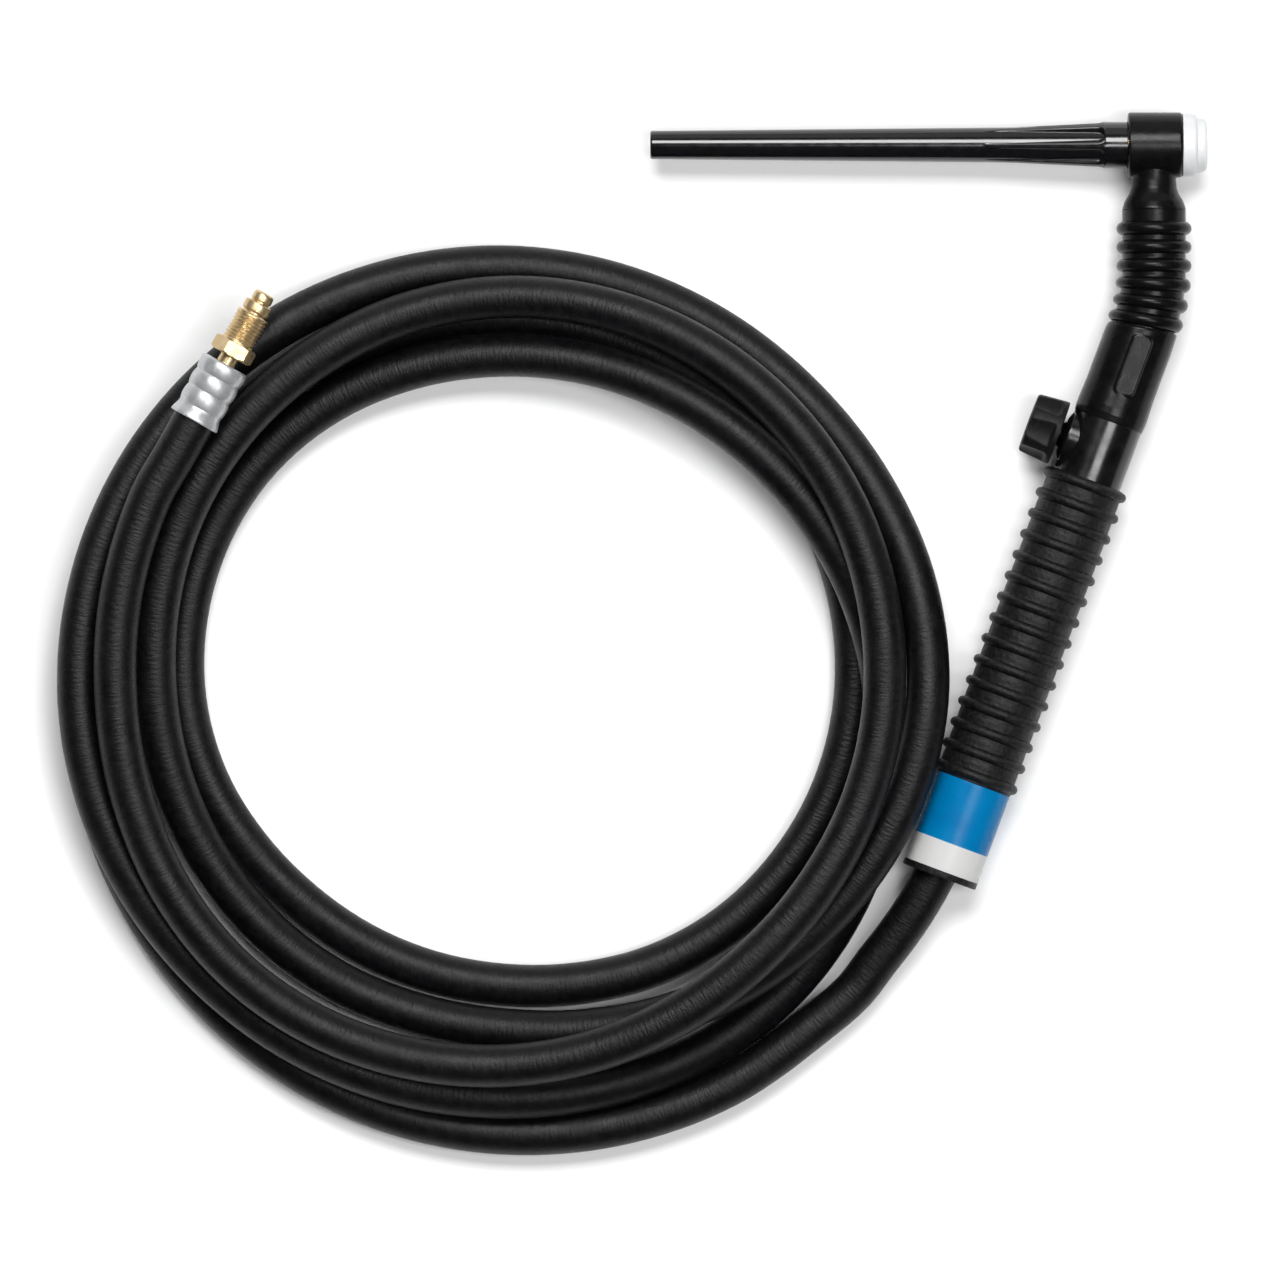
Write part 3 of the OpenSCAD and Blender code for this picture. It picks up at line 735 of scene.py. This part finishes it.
def thread_shape(x, r, angle):
    """A helical thread that fades out at both ends."""
    if r <= THREAD_R - 0.01:
        return r
    share = (x / THREAD_PITCH - angle / TAU) % 1.0
    tooth = 0.5 + 0.5 * math.cos(TAU * share)
    fade = smoothstep(THREAD_FROM + 0.2, THREAD_FROM + 1.2, x) * (
        1 - smoothstep(THREAD_TO - 0.9, THREAD_TO - 0.1, x)
    )
    return r - THREAD_DEPTH * (1 - tooth) * fade


def make_fitting():
    """A neck out of the ferrule, a hex, the thread and a nose with a hole in its end."""
    neck = turned([(1.0, 0), (1.0, 3.0), (17.2, 3.0), (17.2, 2.7), (21.4, 2.7), (21.4, 0)], FERRULE)
    hex_outline = [(HEX_FROM, 0), (HEX_FROM, 4.6), (HEX_FROM, HEX_CORNER_R)]
    hex_outline += [(x, HEX_CORNER_R) for x in spaced(HEX_FROM, HEX_TO, 0.2)]
    hex_outline += [(HEX_TO, 4.6), (HEX_TO, 0)]
    head = turned(hex_outline, FERRULE, hex_shape, 144)
    thread_outline = [(THREAD_FROM - 0.2, 0), (THREAD_FROM - 0.2, THREAD_R)]
    thread_outline += [(x, THREAD_R) for x in spaced(THREAD_FROM, THREAD_TO, 0.08)]
    thread_outline += [(THREAD_TO + 0.35, THREAD_R - 0.45), (THREAD_TO + 0.35, 0)]
    thread = turned(thread_outline, FERRULE, thread_shape, 120)
    nose = turned(
        rounded(
            [
                (34.6, 0), (34.6, 3.45), (35.2, 3.45), (35.6, 4.1, 0.25), (38.1, 4.1, 0.4),
                (38.4, 2.75), (38.8, 2.75), (39.1, 3.05, 0.2), (41.6, 2.95, 1.0),
                (41.6, 1.5), (37.0, 1.5), (37.0, 0),
            ]
        ),
        FERRULE,
    )
    fitting = made("power_fitting_piece", [neck, head, thread, nose], 28)
    s = metal("brass", (0.66, 0.51, 0.29), 0.34, (0.58, 0.43, 0.23), 0.002, metallic=0.85)
    return dressed(fitting, s.material, "handle", "power_fitting")


# ---------------------------------------------------------------- back cap

CAP_FACE = -20.7
CAP_TIP = -157.1
CAP_GRIP_END = -27.5
CAP_GRIP_START = -61.5
CAP_TIP_R = 4.05
CAP_GRIP_R = 6.75
CAP_COLLAR_R = 6.6
CAP_BORE_R = 4.8
CAP_BORE_END = -34.7
CAP_FLUTES = 6
CAP_FIRST_FIN = math.radians(5)
# A fin's half width as an angle, how many mm its side runs out for each mm of its height, and
# the least angle that a side takes
CAP_FIN = math.radians(5.5)
CAP_FIN_WALL = 1.05
CAP_LEAST_WALL = math.radians(3)
FLUTE_FLOOR_START, FLUTE_FLOOR_END = 4.97, 5.3
FLUTE_ROUND_AT, FLUTE_ROUND = -29.6, 2.7


def cap_outline():
    slim = [(CAP_TIP, 0), (CAP_TIP, CAP_TIP_R, 0.6), (CAP_GRIP_START - 0.4, FLUTE_FLOOR_START)]
    grip = [(CAP_GRIP_START + 0.05, FLUTE_FLOOR_START + 0.02), (CAP_GRIP_END, CAP_GRIP_R, 0.25)]
    collar = [(CAP_GRIP_END + 0.3, CAP_COLLAR_R), (CAP_FACE, CAP_COLLAR_R, 0.2)]
    bore = [(CAP_FACE, CAP_BORE_R), (CAP_BORE_END, CAP_BORE_R), (CAP_BORE_END, 0)]
    return refined(rounded(slim), 0.45) + refined(rounded(grip + collar + bore), 0.22)


def cap_shape(x, r, angle):
    """Fins stand on the slim part's own cone, and the flutes between them end in a round."""
    if not CAP_GRIP_START <= x <= CAP_GRIP_END or r <= CAP_BORE_R + 0.1:
        return r
    pitch = TAU / CAP_FLUTES
    along = (x - CAP_GRIP_START) / (CAP_GRIP_END - CAP_GRIP_START)
    floor = FLUTE_FLOOR_START + (FLUTE_FLOOR_END - FLUTE_FLOOR_START) * along
    wall = max(CAP_FIN_WALL * (r - floor) / r, CAP_LEAST_WALL)
    off = abs((angle - CAP_FIRST_FIN) % pitch - pitch / 2)
    half = pitch / 2 - CAP_FIN
    if x > FLUTE_ROUND_AT:
        share = min((x - FLUTE_ROUND_AT) / FLUTE_ROUND, 1.0)
        half *= math.sqrt(1 - share * share)
    return floor + (r - floor) * smoothstep(half - wall, half, off)


def make_cap():
    cap = turned_piece("back_cap_piece", cap_outline(), HEAD, 70, shape=cap_shape, segments=360)
    return dressed(cap, cap_plastic().material, "cap", "back_cap")


# ---------------------------------------------------------------- head

HEAD_BACK = -20.6
HEAD_R = 9.3
GASKET_SEAT = -5.1
# Inside the rubber of the head's stub, the bellows and the sleeve
RUBBER_BORE_R = 7.3


def make_head_cover(material):
    """The head and the neck's stub, grown into each other, then bored for what they cover."""
    sides = [
        (HEAD_BACK, 0), (HEAD_BACK, HEAD_R, 0.55), (GASKET_SEAT, HEAD_R, 0.8), (GASKET_SEAT, 0),
    ]
    head = turned(rounded(sides), HEAD, segments=FINE)
    stub = turned(
        rounded(
            [
                (-BELLOWS_DROP, 0), (-BELLOWS_DROP, 6.3), (-8.6, 6.3, 3), (-6.3, 6.5, 3),
                (-4.6, 7.1, 3), (-2.6, 8.35, 3), (-0.8, 9.0, 1.5), (0, 9.1), (0, 0),
            ]
        ),
        on_neck(0),
        segments=FINE,
    )
    cover = made("head_cover_piece", [head, stub])
    applied(cover, "REMESH", mode="VOXEL", voxel_size=0.22 * MM)
    applied(cover, "SMOOTH", factor=0.5, iterations=5)
    head_bore = turned([(-22, 0), (-22, 6.8), (-20.2, 6.8), (-20.2, 7.4), (2, 7.4), (2, 0)], HEAD)
    neck_bore = turned(
        [(-13, 0), (-13, 4.7), (-5.6, 4.7), (1, RUBBER_BORE_R), (1, 0)], on_neck(0)
    )
    bored(cover, [head_bore, neck_bore], 50)
    return dressed(cover, material, "head", "head_cover")


def make_gasket():
    foot = GASKET_SEAT + 0.05
    outline = rounded(
        [
            (foot, 6.4), (foot, 8.95, 0.3), (-1.3, 8.9, 1.0), (-1.0, 7.75, 0.5),
            (1.9, 7.5, 1.3), (1.9, 5.9, 0.35), (1.2, 5.2, 0.2), (0, 5.2), (0, 6.4),
        ],
        8,
    )
    gasket = turned_piece(
        "cup_gasket_piece", refined(outline, 0.6), HEAD, 40, segments=FINE, loop=True
    )
    return dressed(gasket, gasket_plastic().material, "head", "cup_gasket")


# ---------------------------------------------------------------- neck

BELLOWS_RIBS = 6
FIRST_RIB = 5.3
RIB_PITCH = 5.3
VALLEY_R = 9.1
RIB_R = 10.75
RIB_WIRE_R = 1.9
SLEEVE_START = 9.0
BELLOWS_END = BEND_START + BEND_ARC + SLEEVE_START - BEND_TANGENT
# Where the upper and the lower half of the bellows and of the tube meet
BELLOWS_SPLIT = 18.6
# How far the sleeve's end, and the bellows' last rings in it, lean back
SLEEVE_SLANT = math.radians(8.8)
TUBE_R = 3.175
TUBE_BORE_R = 2.2


def bellows_r(length):
    """Round ribs, with a small fillet where they meet the valley."""
    rib = (length - FIRST_RIB) / RIB_PITCH
    nearest = min(max(round(rib), 0), BELLOWS_RIBS - 1)
    off = abs(length - FIRST_RIB - nearest * RIB_PITCH)
    wire = math.sqrt(max(RIB_WIRE_R**2 - off**2, 0))
    return -soft_min(-VALLEY_R, -(RIB_R - RIB_WIRE_R + wire), 0.35)


def slanted(length):
    """The bellows' rings lean back until they lie in the sleeve's slanted end."""
    lean = SLEEVE_SLANT * max(length - BEND_START, 0) / (BELLOWS_END - BEND_START)
    return on_neck(length) @ turned_about_z(lean)


def blended(piece, material, node):
    """A piece given its material and attached to no body, with its node hidden and its place baked
    into its mesh.
    """
    dressed(piece, material, None, node)
    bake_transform(piece)
    return piece


def bellows_part(name, material, start, end):
    outer = [(x, bellows_r(x)) for x in spaced(start, end, 0.25)]
    inner = [(x, RUBBER_BORE_R) for x in spaced(end, start, 0.8)]
    piece = turned_piece(name, outer + inner, slanted, 50, segments=128, loop=True)
    return blended(piece, material, "flex_bellows")


def make_neck(material):
    """The bellows and the copper tube in them, each in two halves."""
    bellows_part("bellows_lower", material, BELLOWS_SPLIT, BELLOWS_END)
    bellows_part("bellows_upper", material, 0.0, BELLOWS_SPLIT)
    copper = metal("copper", (0.83, 0.42, 0.27), 0.3, (0.72, 0.33, 0.2)).material
    tube_top, tube_end = 8 - BELLOWS_DROP, BEND_START + BEND_ARC + 34 - BEND_TANGENT
    runs = (
        ("neck_tube_lower", BELLOWS_SPLIT, tube_end, ("handle", "neck")),
        ("neck_tube_upper", tube_top, BELLOWS_SPLIT, ("neck", "head")),
    )
    for name, start, end, bodies in runs:
        outer = [(x, TUBE_R) for x in spaced(start, end, 1.0)]
        inner = [(x, TUBE_BORE_R) for x in spaced(end, start, 1.0)]
        tube = turned_piece(name, outer + inner, on_neck, segments=48, loop=True)
        blended(tube, copper, "neck_tube")


SLEEVE_END = 37.7
# The plain raised pad on the sleeve, whose flat top is PAD_TOP above the handle's axis
PAD_AT, PAD_ASIDE = 20.4, 0.9
PAD_LENGTH, PAD_WIDTH, PAD_ROUND = 17.7, 5.6, 1.5
PAD_TOP = 10.25
PAD_SLOPE = 0.45


def on_pad(x, across):
    """1 on the flat pad and 0 off it, with a short slope between them."""
    along = max(abs(x - PAD_AT) - PAD_LENGTH / 2 + PAD_ROUND, 0)
    aside = max(abs(across - PAD_ASIDE) - PAD_WIDTH / 2 + PAD_ROUND, 0)
    return 1 - smoothstep(PAD_ROUND - PAD_SLOPE, PAD_ROUND + PAD_SLOPE, math.hypot(along, aside))


def sleeve_shape(x, r, angle):
    """The pad rises from the outer wall, on the side that looks up."""
    if r < 9.7 or math.cos(angle) < 0.5:
        return r
    return r + (PAD_TOP / math.cos(angle) - r) * on_pad(x, -r * math.sin(angle))


def on_sleeve(x):
    """Place on the handle's axis, where rings near the bellows lie in the slanted end."""
    lean = SLEEVE_SLANT * (1 - smoothstep(SLEEVE_START, SLEEVE_START + 4, x))
    return HANDLE @ moved(x, 0) @ turned_about_z(lean)


def make_sleeve(material):
    outline = refined(
        rounded(
            [
                (SLEEVE_START, RUBBER_BORE_R), (SLEEVE_START, 10.0, 0.7), (14, 10.15, 8),
                (28, 10.15, 6), (33.6, 10.42, 2.5), (35.6, 10.42, 2), (SLEEVE_END, 10.15, 0.3),
                (SLEEVE_END, 6.0), (24, 6.0), (24, RUBBER_BORE_R),
            ]
        ),
        0.3,
    )
    sleeve = turned_piece(
        "neck_sleeve_piece", outline, on_sleeve, 40, shape=sleeve_shape, segments=280, loop=True
    )
    return dressed(sleeve, material, "handle", "neck_sleeve")


# ---------------------------------------------------------------- valve

# Along the handle's axis, and the bore that the valve's stem stands in
COVER_FROM, COVER_TO = 37.6, 55.3
COVER_R, COVER_BORE_R = 10.05, 8.0
STEM_BORE_R = 4.7
# Along the valve's axis
KNOB_FOOT, KNOB_BAND, KNOB_TOP = 11.9, 13.3, 21.3
KNOB_DISH = 21.0
KNOB_FLUTES = 6
KNOB_FLUTE_R = 9.0
KNOB_FLUTE_FLOOR = 7.75
KNOB_TURN = math.radians(-10)


def make_valve_cover(gloss):
    """The glossy band round the handle's start, with a hole where the valve comes through."""
    wall = rounded(
        [
            (COVER_FROM, COVER_BORE_R), (COVER_FROM, COVER_R),
            (COVER_TO, COVER_R), (COVER_TO, COVER_BORE_R),
        ]
    )
    cover = turned_piece(
        "valve_cover_piece", refined(wall, 0.6), HANDLE, segments=FINE, loop=True
    )
    stem_bore = [(4.0, 0), (4.0, STEM_BORE_R), (12.0, STEM_BORE_R), (12.0, 0)]
    bored(cover, [turned(stem_bore, VALVE)], 32)
    dressed(cover, gloss, "handle", "valve_cover")


def make_valve_boss(gloss):
    """The cover's cone round the valve's bonnet."""
    outline = rounded(
        [
            (6.0, 4.5), (6.0, 7.8), (9.6, 7.8, 0.5), (10.2, 7.1, 0.6), (10.9, 5.1, 0.4),
            (10.9, 4.5, 0.1), (6.0, 4.5),
        ]
    )[:-1]
    boss = turned_piece(
        "valve_boss_piece", refined(outline, 0.5), VALVE, 40, segments=128, loop=True
    )
    dressed(boss, gloss, "handle", "valve_cover")


def make_bonnet():
    outline = rounded(
        [
            (5, 2.45), (5, 3.6), (8, 3.6), (8, 4.3), (10.0, 4.3, 0.3), (10.9, 3.95, 0.6),
            (11.7, 3.4, 0.2), (11.7, 2.05), (11.2, 2.05), (11.2, 3.05), (8.4, 3.05), (8.4, 2.45),
        ]
    )
    bonnet = turned_piece("valve_bonnet_piece", outline, VALVE, 40, loop=True)
    nickel = metal("nickel", (0.13, 0.128, 0.122), 0.26, (0.09, 0.088, 0.084), 0.004)
    dressed(bonnet, nickel.material, "handle", "valve_bonnet")


def knob_shape(x, r, angle):
    """Round flutes down the knob's side, which run out just above the band at its foot."""
    if r < 8.2 or x < KNOB_BAND:
        return r
    floor = KNOB_FLUTE_FLOOR + 0.9 * (1 - smoothstep(KNOB_BAND, 14.2, x))
    return grooved(r, angle, KNOB_FLUTES, KNOB_FLUTE_R, floor, 0.25, KNOB_TURN)


def make_knob():
    outline = rounded(
        [
            (KNOB_FOOT, 0), (KNOB_FOOT, 9.35, 0.4), (KNOB_BAND, 9.3, 0.2), (KNOB_TOP, 8.55, 0.9),
            (KNOB_TOP, 6.4, 0.2), (KNOB_DISH, 6.0, 0.2), (KNOB_DISH, 0),
        ]
    )
    knob = turned_piece(
        "valve_knob_piece", refined(outline, 0.35), VALVE, 40, shape=knob_shape, segments=252
    )
    dressed(knob, knob_plastic().material, "valve", "valve_knob")


# ---------------------------------------------------------------- handle

HANDLE_START = 55.2
HANDLE_END = 176.3
LABEL_START, LABEL_END = 147.9, 174.4
HANDLE_RIBS = 15
HANDLE_RIB_FROM = 56.8
HANDLE_RIB_PITCH = 6.355
HANDLE_BEAD_R = 1.42
HANDLE_RIB_R = 12.5
HANDLE_VALLEY_R = 10.95
HANDLE_RIDGE = 0.14
HANDLE_BORE_R = 9.0
HANDLE_RIM_R = 11.05
LABEL_SEAT_R = 10.78
LABEL_R = 11.0


def handle_r(x):
    """Round ribs, with a faint ridge half way between them."""
    if x > LABEL_START - 0.2:
        return LABEL_SEAT_R
    rib = (x - HANDLE_RIB_FROM) / HANDLE_RIB_PITCH
    nearest = min(max(round(rib), 0), HANDLE_RIBS - 1)
    off = abs(x - HANDLE_RIB_FROM - nearest * HANDLE_RIB_PITCH)
    wire = math.sqrt(max(HANDLE_BEAD_R**2 - off**2, 0))
    between = math.exp(-(((off - HANDLE_RIB_PITCH / 2) / 0.7) ** 2))
    valley = HANDLE_VALLEY_R + HANDLE_RIDGE * between
    return -soft_min(-valley, -(HANDLE_RIB_R - HANDLE_BEAD_R + wire), 0.3)


def make_handle():
    rim_from = HANDLE_END - 0.4
    outline = [(HANDLE_START, 10.7)]
    outline += [(x, handle_r(x)) for x in spaced(HANDLE_START + 0.15, LABEL_START - 0.2, 0.2)]
    outline += [(LABEL_START, LABEL_SEAT_R), (LABEL_END, LABEL_SEAT_R)]
    outline += [(LABEL_END, HANDLE_RIM_R), (rim_from, HANDLE_RIM_R)]
    outline += [(HANDLE_END - 0.1, 10.95), (HANDLE_END, 10.6), (HANDLE_END, 9.3)]
    outline += [(rim_from, HANDLE_BORE_R), (HANDLE_START, HANDLE_BORE_R)]
    handle = turned_piece("handle_piece", outline, HANDLE, 50, segments=144, loop=True)
    dressed(handle, handle_plastic().material, "handle", "handle")


def make_label():
    film = rounded(
        [
            (LABEL_START, LABEL_SEAT_R), (LABEL_START, LABEL_R, 0.08),
            (LABEL_END, LABEL_R, 0.08), (LABEL_END, LABEL_SEAT_R),
        ]
    )
    label = turned_piece(
        "handle_label_piece", refined(film, 1.0), HANDLE, 50, segments=FINE, loop=True
    )
    dressed(label, label_film().material, "handle", "handle_label")


# ---------------------------------------------------------------- pieces kept from the CAD


def cad_metal(name, colour, roughness, other):
    return metal(name, colour, roughness, other, on_cad=True).material


def dress_cad():
    """Gives the CAD's own inner pieces, which no piece here stands for, their materials."""
    brass = cad_metal("brass_inner", (0.84, 0.58, 0.24), 0.26, (0.76, 0.48, 0.18))
    copper = cad_metal("copper_inner", (0.83, 0.42, 0.27), 0.34, (0.7, 0.32, 0.2))
    aluminium = cad_metal("aluminium_inner", (0.8, 0.8, 0.81), 0.3, (0.7, 0.7, 0.72))
    rubber = seal_rubber().material
    kept = {
        "back_cap_insert": brass, "back_cap_o_ring": rubber, "head_body": brass,
        "valve_block": brass, "valve_stem": brass, "stem_o_ring": rubber, "torch_fitting": brass,
        "torch_ferrule": aluminium, "hose_torch_end": rubber, "torch_conductor": copper,
        "hose_power_end": rubber, "power_conductor": copper,
    }
    for name, material in kept.items():
        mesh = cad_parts[name].data
        if len(mesh.materials):
            mesh.materials[0] = material
        else:
            mesh.materials.append(material)


make_camera()
hose, hose_path = make_hose()
on_hose = [make_ferrule(), make_fitting()]
make_table()
make_lights()
make_cap()
rubber = cover_rubber().material
make_head_cover(rubber)
make_gasket()
make_neck(rubber)
make_sleeve(rubber)
gloss = gloss_cover().material
make_valve_cover(gloss)
make_valve_boss(gloss)
make_bonnet()
make_knob()
make_handle()
make_label()
dress_cad()
